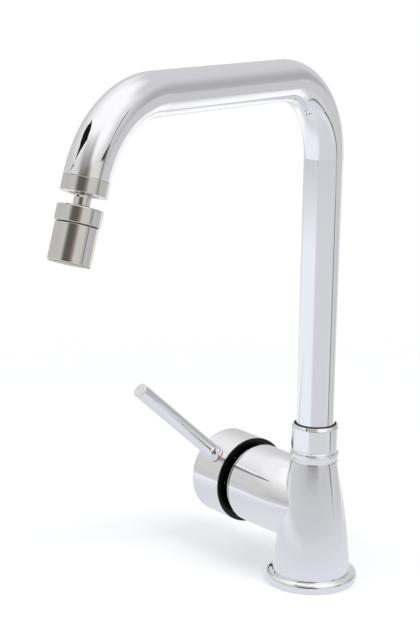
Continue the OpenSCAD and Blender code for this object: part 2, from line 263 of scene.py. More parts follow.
@dataclass(frozen=True)
class Finish:
    """One surface finish: a colour, a gloss and a fine texture, all worked out by nodes.

    The colour wanders between the given one and a darker one on a slow noise, the roughness wanders on a
    second noise, and a third noise gives the fine relief.
    """

    slot: str
    colour: Colour
    substance: Substance = Substance.OTHER
    roughness: float = 0.4
    roughness_swing: float = 0.1
    mottle: float = 0.06
    mottle_scale: float = 90.0
    haze_ratio: float = 2.3
    relief_scale: float = 900.0
    relief_depth: float = 0.02 * MM
    relief_strength: float = 0.3
    stretch: Vec3 = (1.0, 1.0, 1.0)
    coat: float = 0.0
    coat_roughness: float = 0.04
    ior: float = 1.5

    def material(self) -> bpy.types.Material:
        """Builds the finish, or gives it if it is built already.

        Returns:
            The Blender material.
        """
        name = "finish_" + self.slot
        if name in bpy.data.materials:
            return bpy.data.materials[name]
        made, tree = new_material(name)
        shader = tree.add("ShaderNodeBsdfPrincipled")
        tree.surface(shader.outputs["BSDF"])
        shader.inputs["Metallic"].default_value = self.substance.value
        shader.inputs["IOR"].default_value = self.ior
        shader.inputs["Coat Weight"].default_value = self.coat
        shader.inputs["Coat Roughness"].default_value = self.coat_roughness
        darker = tuple(channel * (1.0 - 2.0 * self.mottle) for channel in self.colour)
        patch = tree.noise(self.mottle_scale, 4.0, self.stretch)
        cloud = tree.fade(patch, 0.35, 0.65, 0.0, 1.0)
        tree.join(tree.blend(cloud, darker, self.colour), shader.inputs["Base Color"])
        haze = tree.noise(self.mottle_scale * self.haze_ratio, 2.0, self.stretch)
        low = max(0.01, self.roughness - self.roughness_swing)
        high = min(1.0, self.roughness + self.roughness_swing)
        tree.join(tree.fade(haze, 0.3, 0.7, low, high), shader.inputs["Roughness"])
        grain = tree.noise(self.relief_scale, 2.0, self.stretch)
        normal = tree.bump(grain, self.relief_depth, self.relief_strength)
        tree.join(normal, shader.inputs["Normal"])
        return made


class Finishes:
    """The finishes of this faucet, each named for what it is on."""

    body_chrome = Finish(
        "body_chrome", (0.9, 0.9, 0.92), Substance.METAL, roughness=0.035, roughness_swing=0.015,
        mottle=0.004, mottle_scale=40.0, relief_scale=55.0, relief_depth=0.02 * MM, relief_strength=0.05,
    )
    outlet_chrome = Finish(
        "outlet_chrome", (0.745, 0.73, 0.70), Substance.METAL, roughness=0.07, roughness_swing=0.02,
        mottle=0.015, mottle_scale=60.0, relief_scale=700.0, relief_depth=0.01 * MM, relief_strength=0.05,
    )
    brass = Finish(
        "brass", (0.78, 0.6, 0.28), Substance.METAL, roughness=0.28, roughness_swing=0.08, mottle=0.08,
        relief_scale=1400.0, stretch=(0.2, 0.2, 3.0),
    )
    steel = Finish(
        "steel", (0.7, 0.7, 0.7), Substance.METAL, roughness=0.3, roughness_swing=0.08, relief_scale=1800.0,
        stretch=(0.2, 0.2, 2.0),
    )
    rubber = Finish("rubber", (0.04, 0.04, 0.04), roughness=0.75, mottle=0.1, relief_scale=2600.0)
    slip_plastic = Finish("slip_plastic", (0.85, 0.84, 0.8), roughness=0.5, relief_scale=1500.0)
    cartridge_plastic = Finish("cartridge_plastic", (0.55, 0.56, 0.57), roughness=0.45, relief_scale=1500.0)
    dark_plastic = Finish("dark_plastic", (0.1, 0.1, 0.1), roughness=0.5, relief_scale=1500.0)
    black_gloss = Finish(
        "black_gloss", (0.006, 0.006, 0.006), roughness=0.16, roughness_swing=0.03, mottle=0.1, ior=1.36,
        relief_scale=300.0, relief_depth=0.01 * MM, relief_strength=0.1,
    )
    insert_plastic = Finish(
        "insert_plastic", (0.85, 0.86, 0.86), roughness=0.3, roughness_swing=0.06, mottle=0.02,
        relief_scale=1200.0, relief_strength=0.1,
    )
    index_red = Finish("index_red", (0.6, 0.03, 0.04), roughness=0.2, roughness_swing=0.05, coat=0.6)
    index_blue = Finish("index_blue", (0.04, 0.12, 0.5), roughness=0.2, roughness_swing=0.05, coat=0.6)


def dress(finish: Finish, *nodes: str) -> None:
    """Puts a finish on CAD nodes.

    Args:
        finish: the finish.
        *nodes: names of CAD nodes.
    """
    material = finish.material()
    for name in nodes:
        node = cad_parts[name]
        if not node.material_slots:
            node.data.materials.append(material)
        for slot in node.material_slots:
            slot.material = material


# ------------------------------------------------------------------ surfaces


@dataclass(frozen=True)
class Axis:
    """An axis of the faucet: its origin in metres and its direction."""

    origin: Vec3
    along: Vec3

    def place(self, radius: np.ndarray, height: np.ndarray, angle: np.ndarray) -> np.ndarray:
        """Gives the points at a radius, a height and an angle round the axis.

        A point is the origin, plus the height along the axis, plus the radius times a unit vector across it.
        That vector is the cosine of the angle in one crosswise direction and the sine of it in the other.

        Args:
            radius: distances from the axis.
            height: distances along the axis from its origin.
            angle: angles round the axis.

        Returns:
            The points, with a last axis of three coordinates.
        """
        along = np.array(self.along) / np.linalg.norm(self.along)
        across = np.cross(along, (0.6, 0.8, 0.0) if abs(along[2]) > 0.8 else (0.0, 0.0, 1.0))
        across /= np.linalg.norm(across)
        beside = np.cross(along, across)
        wheel = np.cos(angle)[..., None] * across + np.sin(angle)[..., None] * beside
        return np.array(self.origin) + radius[..., None] * wheel + height[..., None] * along


@dataclass(frozen=True)
class Layout:
    """Where the faucet's axes run, in millimetres and degrees.

    The lever stands at its reach along the branch's axis and leans from the upright towards the front. The
    spout's reach and height are those of the point where the axes of its run and its drop would meet.
    """

    branch_height: float = 48.8
    lever_reach: float = 72.7
    lever_lean: float = 49.0
    spout_turn: float = 17.0
    spout_reach: float = 209.5
    spout_height: float = 318.0
    drop_bend: float = 71.0
    drop_radius: float = 56.3
    ring_length: float = 7.7

    def branch(self) -> Axis:
        """Gives the branch's axis: it starts at the riser's axis and points out of the branch."""
        return Axis((0.0, 0.0, self.branch_height * MM), (-1.0, 0.0, 0.0))

    def lever(self) -> Axis:
        """Gives the lever's axis: it starts at the branch's axis and points out along the pin."""
        lean = math.radians(self.lever_lean)
        foot = (-self.lever_reach * MM, 0.0, self.branch_height * MM)
        return Axis(foot, (0.0, -math.sin(lean), math.cos(lean)))

    def outlet(self) -> Axis:
        """Gives the outlet's axis: it starts at the end of the spout and points out of it."""
        turn, lean = math.radians(self.spout_turn), math.radians(90.0 - self.drop_bend)
        drop = self.drop_radius * math.tan(math.radians(self.drop_bend / 2.0)) + self.ring_length
        run = self.spout_reach + drop * math.sin(lean)
        height = self.spout_height - drop * math.cos(lean)
        ahead = np.array([math.sin(turn), -math.cos(turn), 0.0])
        origin = ahead * run * MM + np.array([0.0, 0.0, height * MM])
        along = ahead * math.sin(lean) - np.array([0.0, 0.0, math.cos(lean)])
        return Axis(tuple(origin), tuple(along))


LAYOUT = Layout()
UPRIGHT = Axis((0.0, 0.0, 0.0), (0.0, 0.0, 1.0))
BRANCH = LAYOUT.branch()
LEVER = LAYOUT.lever()
OUTLET = LAYOUT.outlet()


def rounded(corners: Sequence[Spot], steps: int = 7) -> np.ndarray:
    """Rounds the corners of a closed outline.

    A corner becomes an arc that touches both of its sides. A point of the arc is its centre plus the arms to
    the arc's two ends. Each arm is scaled by the sine of the sweep from the other end, over the sine of the
    whole sweep. A spare point before and after the arc lets the flat sides keep their own normals.

    Args:
        corners: radius, height and rounding of each corner in millimetres, in order.
        steps: the points of each arc.

    Returns:
        The outline's points in metres, two columns.
    """
    spots = np.array([corner[:2] for corner in corners], float)
    before = np.roll(spots, 1, 0) - spots
    after = np.roll(spots, -1, 0) - spots
    before /= np.linalg.norm(before, axis=1, keepdims=True)
    after /= np.linalg.norm(after, axis=1, keepdims=True)
    radius = np.array([corner[2] for corner in corners])
    half = 0.5 * np.arccos(np.clip((before * after).sum(1), -0.99999, 0.99999))
    reach = radius / np.tan(half)
    middle = (before + after) / np.linalg.norm(before + after, axis=1, keepdims=True)
    centre = spots + middle * (radius / np.sin(half))[:, None]
    start = spots + before * reach[:, None] - centre
    end = spots + after * reach[:, None] - centre
    share = np.linspace(0.0, 1.0, steps)[None, :, None]
    sweep = (math.pi - 2.0 * half)[:, None, None]
    arc = np.sin((1.0 - share) * sweep) * start[:, None] + np.sin(share * sweep) * end[:, None]
    arc /= np.maximum(np.sin(sweep), 1e-6)
    spare = 0.04
    first = spots + before * (reach[:, None] + spare)
    last = spots + after * (reach[:, None] + spare)
    outline = np.concatenate([first[:, None], centre[:, None] + arc, last[:, None]], 1)
    return outline.reshape(-1, 2) * MM


def dome(radius: float, centre: float, low: float, high: float, steps: int = 24) -> list[Spot]:
    """Gives outline corners on a sphere round a point of the axis.

    The radius at a height is the square root of the sphere's radius squared less the square of the height
    above the sphere's centre.

    Args:
        radius: the sphere's radius in millimetres.
        centre: the height of its centre.
        low: the height where the row starts.
        high: the height where it ends.
        steps: how many corners it has.

    Returns:
        The corners, without rounding.
    """
    height = np.linspace(low, high, steps)
    wide = np.sqrt(np.maximum(radius ** 2 - (height - centre) ** 2, 0.0))
    return [(float(a), float(b), 0.0) for a, b in zip(wide, height)]


def turned(
    name: str, outline: np.ndarray, axis: Axis, body: str, finish: Finish, *nodes: str, turns: int = 160
) -> bpy.types.Object:
    """Turns a closed outline round an axis into one closed piece.

    The grid's point (i, j) is the outline's point j turned by the angle i. Points on the axis itself are
    merged into poles. If the volume comes out negative, the faces are turned round.

    Args:
        name: the piece's name.
        outline: radius and height of each point, in metres.
        axis: the axis it turns round.
        body: the CAD body that the piece rides on.
        finish: its finish.
        *nodes: names of the CAD nodes that it replaces.
        turns: how many faces it has round the axis.

    Returns:
        The new object.
    """
    angle = np.linspace(0.0, 2.0 * math.pi, turns, endpoint=False)[:, None]
    radius = np.maximum(outline[None, :, 0], 0.0) + 0.0 * angle
    points = axis.place(radius, outline[None, :, 1] + 0.0 * angle, angle + 0.0 * radius)
    rows, columns = points.shape[:2]
    index = np.arange(rows * columns).reshape(rows, columns)
    right = np.roll(index, -1, 1)
    quads = np.stack([index, right, np.roll(right, -1, 0), np.roll(index, -1, 0)], -1).reshape(-1, 4)
    flat = points.reshape(-1, 3)
    corners = flat[quads] - flat.mean(0)
    cross = np.cross(corners[:, 2] - corners[:, 0], corners[:, 3] - corners[:, 1])
    if (cross * corners.mean(1)).sum() < 0.0:
        quads = quads[:, ::-1]
    mesh = bpy.data.meshes.new(name)
    mesh.from_pydata(flat.tolist(), [], quads.tolist())
    on_axis = np.abs(radius.reshape(-1)) < 1e-9
    if on_axis.any():
        work = bmesh.new()
        work.from_mesh(mesh)
        bmesh.ops.remove_doubles(work, verts=work.verts, dist=1e-7)
        loose = [edge for edge in work.edges if not edge.link_faces]
        bmesh.ops.delete(work, geom=loose, context="EDGES")
        work.to_mesh(mesh)
        work.free()
    mesh.shade_smooth()
    piece = bpy.data.objects.new(name, mesh)
    bpy.context.scene.collection.objects.link(piece)
    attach(piece, body)
    piece.data.materials.append(finish.material())
    if nodes:
        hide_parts(*nodes)
    return piece


# ----------------------------------------------------------- sub-assemblies

# The sizes are millimetres. A height is taken along the axis that the piece turns round. A corner of an
# outline is its radius, its height and its rounding.


@dataclass
class Base:
    """The flared body with its branch, flange, gasket, trim ring and spout nut."""

    thread_radius: float = 13.0
    nut_bottom: float = 85.0
    nut_top: float = 103.2
    nut_radius: float = 14.7
    nut_foot_radius: float = 13.4
    nut_foot: float = 2.4
    nut_crown: float = 1.9
    nut_rounding: float = 0.9
    nut_lip_outside: float = 13.6
    nut_lip_inside: float = 13.3
    nut_mouth: float = 1.5
    nut_bore: float = 12.3
    nut_thread: float = 10.2
    trim_bottom: float = 80.3
    trim_foot_radius: float = 14.3
    trim_waist_radius: float = 14.9
    trim_waist: float = 82.4
    trim_radius: float = 15.3
    trim_lip: float = 1.8
    wiper_bore: float = 12.08
    wiper_radius: float = 12.85
    wiper_foot: float = 0.2
    wiper_flare: float = 0.85
    # How far the wiper stands above the nut's top: its black edge there is a painted dark reflection line.
    wiper_dark_line_edge: float = 0.3
    wiper_dark_line_stand: float = 0.7

    def nut(self) -> np.ndarray:
        """Gives the outline of the spout nut, with a countersunk mouth for the wiper."""
        return rounded((
            (self.nut_foot_radius, self.nut_bottom, 0.2),
            (self.nut_radius, self.nut_bottom + self.nut_foot, self.nut_rounding),
            (self.nut_radius, self.nut_top - self.nut_crown, self.nut_rounding),
            (self.nut_lip_outside, self.nut_top, 0.12),
            (self.nut_lip_inside, self.nut_top, 0.12),
            (self.nut_bore, self.nut_top - self.nut_mouth, 0.2),
            (self.nut_bore, self.nut_bottom + self.nut_thread, 0.0),
            (self.thread_radius, self.nut_bottom + self.nut_thread, 0.0),
            (self.thread_radius, self.nut_bottom, 0.0),
        ))

    def trim(self) -> np.ndarray:
        """Gives the outline of the thin flared lip between body and nut."""
        return rounded((
            (self.thread_radius, self.trim_bottom, 0.0),
            (self.trim_foot_radius, self.trim_bottom, 0.15),
            (self.trim_waist_radius, self.trim_waist, 0.6),
            (self.trim_radius, self.nut_bottom - self.trim_lip, 0.3),
            (self.trim_radius, self.nut_bottom, 0.6),
            (self.thread_radius, self.nut_bottom, 0.0),
        ))

    def wiper(self) -> np.ndarray:
        """Gives the outline of the thin rubber wiper in the nut's mouth round the tube. It stands above the
        nut, so its black edge is a painted dark reflection line on the nut's top.
        """
        mouth = self.nut_top - self.nut_mouth
        return rounded((
            (self.wiper_bore, mouth, 0.0),
            (self.wiper_bore + self.wiper_foot, mouth, 0.0),
            (self.wiper_radius, mouth + self.wiper_flare, 0.1),
            (self.wiper_radius, self.nut_top + self.wiper_dark_line_edge, 0.2),
            (self.wiper_bore, self.nut_top + self.wiper_dark_line_stand, 0.1),
        ), 3)

    def build(self) -> list[str]:
        """Dresses the fixed parts and gives their names."""
        dress(Finishes.body_chrome, "body_casting", "base_flange")
        dress(Finishes.brass, "inlet_block")
        dress(Finishes.rubber, "base_gasket")
        dress(Finishes.slip_plastic, "slip_ring_lower", "slip_ring_upper")
        turned("nut", self.nut(), UPRIGHT, "mixer", Finishes.body_chrome, "spout_nut")
        # The rubber wiper's black edge above the nut is a painted dark reflection line.
        turned("spout_wiper_dark_line", self.wiper(), UPRIGHT, "mixer", Finishes.rubber)
        turned("neck_trim", self.trim(), UPRIGHT, "mixer", Finishes.body_chrome, "trim_ring")
        return ["body_casting", "base_flange", "neck_trim", "nut", "spout_wiper_dark_line", "base_gasket"]


@dataclass
class Cartridge:
    """The mixing cartridge, its clamp nut, its seals and the black dome over it.

    The dome is a shell of two spheres round the handle's pivot. Its skirt stands in the branch's mouth.
    """

    pivot: float = 50.0
    dome_radius: float = 24.5
    dome_inside: float = 22.3
    dome_foot: float = 55.15
    dome_top: float = 64.0
    dome_ledge: float = 56.6
    dome_step: float = 0.05
    skirt_radius: float = 21.85
    skirt_bore: float = 20.2
    skirt_bottom: float = 52.0
    bead_bottom: float = 55.8
    bead_foot_radius: float = 23.7
    bead_top_radius: float = 23.4

    def shell(self) -> np.ndarray:
        """Gives the outline of the dome and its skirt."""
        return rounded((
            *dome(self.dome_radius, self.pivot, self.dome_foot, self.dome_top),
            *dome(self.dome_inside, self.pivot, self.dome_top, self.dome_ledge + self.dome_step),
            (self.skirt_bore, self.dome_ledge, 0.0),
            (self.skirt_bore, self.skirt_bottom, 0.1),
            (self.skirt_radius, self.skirt_bottom, 0.1),
            (self.skirt_radius, self.dome_foot, 0.0),
        ), 2)

    def bead(self) -> np.ndarray:
        """Gives the outline of the thin chrome bead at the dome's foot."""
        return rounded((
            (self.bead_foot_radius, self.bead_bottom, 0.1),
            (self.dome_radius, self.bead_bottom, 0.3),
            (self.dome_radius, self.dome_ledge, 0.3),
            (self.bead_top_radius, self.dome_ledge, 0.1),
        ))

    def build(self) -> list[str]:
        """Dresses the cartridge's parts and gives their names."""
        dress(Finishes.cartridge_plastic, "cartridge_body", "cartridge_rotor")
        dress(Finishes.dark_plastic, "cartridge_cover")
        dress(Finishes.rubber, "hot_seal", "cold_seal", "outlet_seal")
        dress(Finishes.brass, "cartridge_nut", "cartridge_stem")
        dress(Finishes.steel, "pivot_pin")
        turned("dome", self.shell(), BRANCH, "mixer", Finishes.black_gloss, "shroud_dome")
        turned("dome_bead", self.bead(), BRANCH, "mixer", Finishes.body_chrome)
        return ["dome", "dome_bead", "cartridge_nut"]


@dataclass
class Handle:
    """The handle cap with its ball-footed pin lever and its index marks."""

    liner_front: float = 61.2
    liner_rim: float = 0.8
    liner_rim_radius: float = 28.1
    liner_radius: float = 26.25
    liner_bore: float = 24.9
    liner_back: float = 65.5
    # A black flange at the liner's back: painted shade that darkens the inside of the cap.
    shade_flange_depth: float = 0.5
    shade_flange_bore: float = 19.9
    ball_radius: float = 5.5
    ball_centre: float = 29.9
    ball_bore: float = 3.05
    ball_bottom: float = 28.7
    ball_top: float = 34.45
    rod_radius: float = 4.9
    rod_foot: float = 32.5
    rod_step: float = 0.1
    rod_end: float = 109.5
    pin_radius: float = 3.0
    pin_bottom: float = 18.5
    ball_gap: float = 0.05

    def liner(self) -> np.ndarray:
        """Gives the outline of the black ring in the cap's mouth, with a black flange behind the dome's edge
        that is painted shade: it hides the chrome inside the cap so the hollow looks dark.
        """
        return rounded((
            (self.liner_bore, self.liner_front, 0.3),
            (self.liner_rim_radius, self.liner_front, 0.3),
            (self.liner_rim_radius, self.liner_front + self.liner_rim, 0.1),
            (self.liner_radius, self.liner_front + self.liner_rim, 0.0),
            (self.liner_radius, self.liner_back, 0.2),
            (self.shade_flange_bore, self.liner_back, 0.2),
            (self.shade_flange_bore, self.liner_back - self.shade_flange_depth, 0.2),
            (self.liner_bore, self.liner_back - self.shade_flange_depth, 0.3),
        ))

    def ball(self) -> np.ndarray:
        """Gives the outline of the ball that the lever stands on."""
        return rounded((
            (self.ball_bore, self.ball_bottom, 0.0),
            *dome(self.ball_radius, self.ball_centre, self.ball_bottom, self.ball_top),
            (self.ball_bore, self.ball_top, 0.0),
        ), 2)

    def rod(self) -> np.ndarray:
        """Gives the outline of the pin and the rod, whose foot is hollowed to sit on the ball."""
        radius, start = self.ball_radius + self.ball_gap, self.ball_top + self.ball_gap
        hollow = dome(radius, self.ball_centre, start, self.rod_foot, 8)
        return rounded((
            (0.0, self.pin_bottom, 0.0),
            (self.pin_radius, self.pin_bottom, 0.2),
            *hollow,
            (self.rod_radius, self.rod_foot + self.rod_step, 0.1),
            (self.rod_radius, self.rod_end, 0.5),
            (0.0, self.rod_end, 0.0),
        ))

    def build(self) -> list[str]:
        """Dresses the handle's parts and gives their names."""
        dress(Finishes.body_chrome, "handle_cap")
        turned("liner", self.liner(), BRANCH, "handle", Finishes.black_gloss, "cap_liner")
        turned("ball", self.ball(), LEVER, "handle", Finishes.body_chrome, "lever_ball")
        turned("rod", self.rod(), LEVER, "handle", Finishes.body_chrome, "lever_rod")
        dress(Finishes.index_red, "index_red")
        dress(Finishes.index_blue, "index_blue")
        dress(Finishes.steel, "grub_screw")
        return ["handle_cap", "liner", "ball", "rod"]


@dataclass
class Spout:
    """The bent tube with its bush and seals, and the outlet fitting with the ball.

    The ring's heights are below zero: the outlet's axis starts at its end.
    """

    ring_radius: float = 12.0
    ring_length: float = LAYOUT.ring_length
    mouth_radius: float = 8.0
    mouth_depth: float = 5.2
    bore: float = 5.5
    spigot_radius: float = 10.5
    spigot_bore: float = 9.0
    spigot_length: float = 4.0

    def ring(self) -> np.ndarray:
        """Gives the outline of the outlet ring, whose spigot goes into the tube."""
        foot = -self.ring_length - self.spigot_length
        return rounded((
            (self.ring_radius, -self.ring_length, 0.4),
            (self.ring_radius, 0.0, 0.25),
            (self.mouth_radius, 0.0, 0.25),
            (self.mouth_radius, -self.mouth_depth, 0.0),
            (self.bore, -self.mouth_depth, 0.0),
            (self.bore, -self.ring_length, 0.0),
            (self.spigot_bore, -self.ring_length, 0.0),
            (self.spigot_bore, foot, 0.0),
            (self.spigot_radius, foot, 0.0),
            (self.spigot_radius, -self.ring_length, 0.0),
        ))

    def build(self) -> list[str]:
        """Dresses the spout's parts and gives their names."""
        dress(Finishes.body_chrome, "spout_tube")
        dress(Finishes.brass, "spout_bush")
        dress(Finishes.rubber, "o_ring_lower", "o_ring_upper", "outlet_washer")
        dress(Finishes.outlet_chrome, "ball_stem")
        turned("ring", self.ring(), OUTLET, "spout", Finishes.outlet_chrome, "outlet_ring")
        return ["spout_tube", "ring", "ball_stem"]


@dataclass
class AeratorHead:
    """The aerator head that spins and tilts on the ball."""

    ball_centre: float = 11.6
    socket_radius: float = 8.65
    collar_radius: float = 11.8
    collar_top: float = 6.5
    collar_end: float = 15.0
    collar_bore: float = 9.9
    collar_shelf: float = 12.4
    sleeve_radius: float = 11.1
    sleeve_top: float = 15.5
    sleeve_end: float = 34.8
    sleeve_bore: float = 9.55
    neck_radius: float = 9.85
    neck_bore: float = 8.75
    neck_top: float = 12.5
    neck_end: float = 17.5
    rim_radius: float = 10.15
    rim_ledge: float = 34.0
    # The outer radius of the black ring that paints shade in the groove between collar and sleeve.
    groove_shade_radius: float = 10.3
    # The black ring in the sleeve's rim paints the shadow gap. These are its clearance to the rim's walls
    # and its end.
    shade_ring_gap: float = 0.01
    shade_ring_end: float = 34.95

    def collar(self) -> np.ndarray:
        """Gives the outline of the collar, whose socket is a sphere round the ball's centre."""
        return rounded((
            (self.collar_radius, self.collar_top, 0.8),
            (self.collar_radius, self.collar_end, 0.35),
            (self.collar_bore, self.collar_end, 0.0),
            (self.collar_bore, self.collar_shelf, 0.0),
            (self.socket_radius, self.collar_shelf, 0.0),
            *dome(self.socket_radius, self.ball_centre, self.ball_centre, self.collar_top, 12),
        ))

    def sleeve(self) -> np.ndarray:
        """Gives the outline of the sleeve, whose neck screws into the collar."""
        return rounded((
            (self.sleeve_radius, self.sleeve_top, 0.35),
            (self.sleeve_radius, self.sleeve_end, 0.5),
            (self.rim_radius, self.sleeve_end, 0.1),
            (self.rim_radius, self.rim_ledge, 0.0),
            (self.sleeve_bore, self.rim_ledge, 0.0),
            (self.sleeve_bore, self.neck_end, 0.0),
            (self.neck_bore, self.neck_end, 0.0),
            (self.neck_bore, self.neck_top, 0.0),
            (self.neck_radius, self.neck_top, 0.0),
            (self.neck_radius, self.sleeve_top, 0.0),
        ))

    def shaded_groove(self) -> np.ndarray:
        """Gives the outline of a thin black ring in the groove between collar and sleeve, which is painted
        shade: it darkens the groove.
        """
        return rounded((
            (self.collar_bore, self.collar_end, 0.0),
            (self.groove_shade_radius, self.collar_end, 0.0),
            (self.groove_shade_radius, self.sleeve_top, 0.0),
            (self.collar_bore, self.sleeve_top, 0.0),
        ), 2)

    def shaded_rim(self) -> np.ndarray:
        """Gives the outline of a thin black ring in the sleeve's rim, which is painted shade: a dark line
        for the shadow gap between rim and insert.
        """
        inside, outside = self.sleeve_bore + self.shade_ring_gap, self.rim_radius - self.shade_ring_gap
        return rounded((
            (inside, self.rim_ledge, 0.0),
            (outside, self.rim_ledge, 0.0),
            (outside, self.shade_ring_end, 0.1),
            (inside, self.shade_ring_end, 0.1),
        ), 3)

    def build(self) -> list[str]:
        """Dresses the head's parts and gives their names."""
        turned("collar", self.collar(), OUTLET, "head", Finishes.outlet_chrome, "head_collar")
        turned("sleeve", self.sleeve(), OUTLET, "head", Finishes.outlet_chrome, "head_sleeve")
        # Painted shade: a black rubber ring that darkens the groove between collar and sleeve.
        turned("groove_shade_ring", self.shaded_groove(), OUTLET, "head", Finishes.rubber)
        # Painted shade: a black rubber ring in the sleeve's rim draws the dark shadow line round the outlet.
        turned("rim_shade_ring", self.shaded_rim(), OUTLET, "head", Finishes.rubber)
        dress(Finishes.slip_plastic, "ball_seat")
        dress(Finishes.rubber, "ball_seal")
        dress(Finishes.insert_plastic, "aerator_insert")
        dress(Finishes.steel, "aerator_screen")
        return ["collar", "sleeve", "groove_shade_ring", "rim_shade_ring", "aerator_insert"]


# -------------------------------------------------------------------- studio

# The share of light that chrome mirrors, a point of the spout's drop bend, and where the cards for it hang.
MIRROR = 0.9
DROP_BEND = (0.058, -0.205, 0.275)
CARD_SPOT = (-0.012, -0.289, 0.377)


def paper(red: float, green: float | None = None, blue: float | None = None) -> Colour:
    """Gives the strength of a studio wall that chrome shows at a given screen level.

    Args:
        red: the level from 0 to 255, of red or of all three colours.
        green: the level of green.
        blue: the level of blue.

    Returns:
        The wall's colour as light.
    """
    levels = np.array([red, red if green is None else green, red if blue is None else blue]) / 255.0
    light = np.where(levels <= 0.04045, levels / 12.92, ((levels + 0.055) / 1.055) ** 2.4)
    return tuple(float(value) for value in light / MIRROR)


def direction(azimuth: float, elevation: float) -> Vec3:
    """Gives a unit direction of the tent.

    Args:
        azimuth: degrees, 0 towards the camera, growing to the picture's right.
        elevation: degrees above the horizon.

    Returns:
        The direction in the part's frame.
    """
    turn, rise = math.radians(azimuth + CAMERA_AZIMUTH), math.radians(elevation)
    return math.cos(rise) * math.cos(turn), math.cos(rise) * math.sin(turn), math.sin(rise)


class Sky:
    """The tent as a ray sees it: the ray, its azimuth and its elevation as sockets, in degrees."""

    def __init__(self, tree: Tree) -> None:
        """Adds the nodes that measure a ray.

        Args:
            tree: the world's node tree.
        """
        self.tree = tree
        self.ray = tree.add("ShaderNodeTexCoord").outputs["Generated"]
        ahead, aside = tree.dot(self.ray, direction(0.0, 0.0)), tree.dot(self.ray, direction(90.0, 0.0))
        self.azimuth = tree.math("DEGREES", tree.math("ARCTAN2", aside, ahead))
        self.elevation = tree.math("DEGREES", tree.math("ARCSINE", tree.dot(self.ray, (0.0, 0.0, 1.0))))


@dataclass(frozen=True)
class Band:
    """A soft-edged area of the tent between two azimuths and two elevations, in degrees."""

    azimuth: float
    elevation: float
    half_width: float
    half_height: float
    soft: float
    soft_rise: float
    tone: Colour

    def mask(self, sky: Sky) -> bpy.types.NodeSocket:
        """Gives the share of the band in what a ray sees.

        Args:
            sky: the ray's sockets.

        Returns:
            The share, from 0 to 1.
        """
        tree = sky.tree
        turn = tree.math("WRAP", tree.math("SUBTRACT", sky.azimuth, self.azimuth), 180.0, -180.0)
        aside = tree.math("ABSOLUTE", turn)
        above = tree.math("ABSOLUTE", tree.math("SUBTRACT", sky.elevation, self.elevation))
        width = tree.fade(aside, self.half_width - self.soft, self.half_width + self.soft, 1.0, 0.0)
        low, high = self.half_height - self.soft_rise, self.half_height + self.soft_rise
        height = tree.fade(above, low, high, 1.0, 0.0)
        return tree.math("MULTIPLY", width, height)


@dataclass(frozen=True)
class Flag:
    """A strip of the tent with straight sides, given by its corners' azimuths and elevations in degrees."""

    corners: tuple[tuple[float, float], ...]
    soft: float
    tone: Colour

    def mask(self, sky: Sky) -> bpy.types.NodeSocket:
        """Gives the share of the flag in what a ray sees.

        A ray is inside when it lies on the inner side of every plane through the eye and a side of the flag.

        Args:
            sky: the ray's sockets.

        Returns:
            The share, from 0 to 1.
        """
        tree = sky.tree
        spots = np.array([direction(*corner) for corner in self.corners])
        sides = np.cross(spots, np.roll(spots, -1, 0))
        sides *= np.sign(sides @ spots.sum(0))[:, None] / np.linalg.norm(sides, axis=1, keepdims=True)
        reach = math.sin(math.radians(self.soft))
        share = None
        for side in sides:
            inside = tree.fade(tree.dot(sky.ray, tuple(side)), -reach, reach, 0.0, 1.0)
            share = inside if share is None else tree.math("MULTIPLY", share, inside)
        return share


def sheet(name: str, corners: np.ndarray) -> bpy.types.Object:
    """Builds a flat board of one face.

    Args:
        name: the board's name.
        corners: its corners in the part's frame, in order.

    Returns:
        The new object.
    """
    mesh = bpy.data.meshes.new(name)
    mesh.from_pydata(corners.tolist(), [], [list(range(len(corners)))])
    board = bpy.data.objects.new(name, mesh)
    bpy.context.scene.collection.objects.link(board)
    return board


@dataclass(frozen=True)
class Card:
    """A flat board near the faucet that only polished metal sees.

    Its corners are metres to the right and up on the board, as seen from the point that it faces.
    """

    name: str
    corners: tuple[tuple[float, float], ...]
    tone: Colour
    middle: Vec3 = CARD_SPOT
    faces: Vec3 = DROP_BEND

    def build(self) -> bpy.types.Object:
        """Builds the board.

        Returns:
            The board.
        """
        ahead = np.array(self.middle) - np.array(self.faces)
        ahead /= np.linalg.norm(ahead)
        right = np.cross(ahead, (0.0, 0.0, 1.0))
        right /= np.linalg.norm(right)
        across = np.array(self.corners) @ np.array([right, np.cross(right, ahead)])
        board = sheet(self.name, np.array(self.middle) + across)
        board.visible_camera = False
        board.visible_diffuse = False
        board.visible_shadow = False
        made, tree = new_material(self.name)
        tree.surface(tree.glow(self.tone).outputs[0])
        board.data.materials.append(made)
        return board


@dataclass(frozen=True)
class Lamp:
    """A square soft lamp that looks at the faucet's middle. Polished metal doesn't mirror it."""

    name: str
    azimuth: float
    elevation: float
    distance: float
    side: float
    power: float
    target: Vec3 = (0.0, -0.08, 0.15)

    def build(self) -> bpy.types.Object:
        """Hangs the lamp.

        Returns:
            The lamp.
        """
        data = bpy.data.lights.new(self.name, "AREA")
        data.size = self.side
        data.energy = self.power
        holder = bpy.data.objects.new(self.name, data)
        bpy.context.scene.collection.objects.link(holder)
        out = Vector(direction(self.azimuth, self.elevation))
        holder.location = Vector(self.target) + out * self.distance
        holder.rotation_euler = out.to_track_quat("Z", "Y").to_euler()
        holder.visible_glossy = False
        return holder


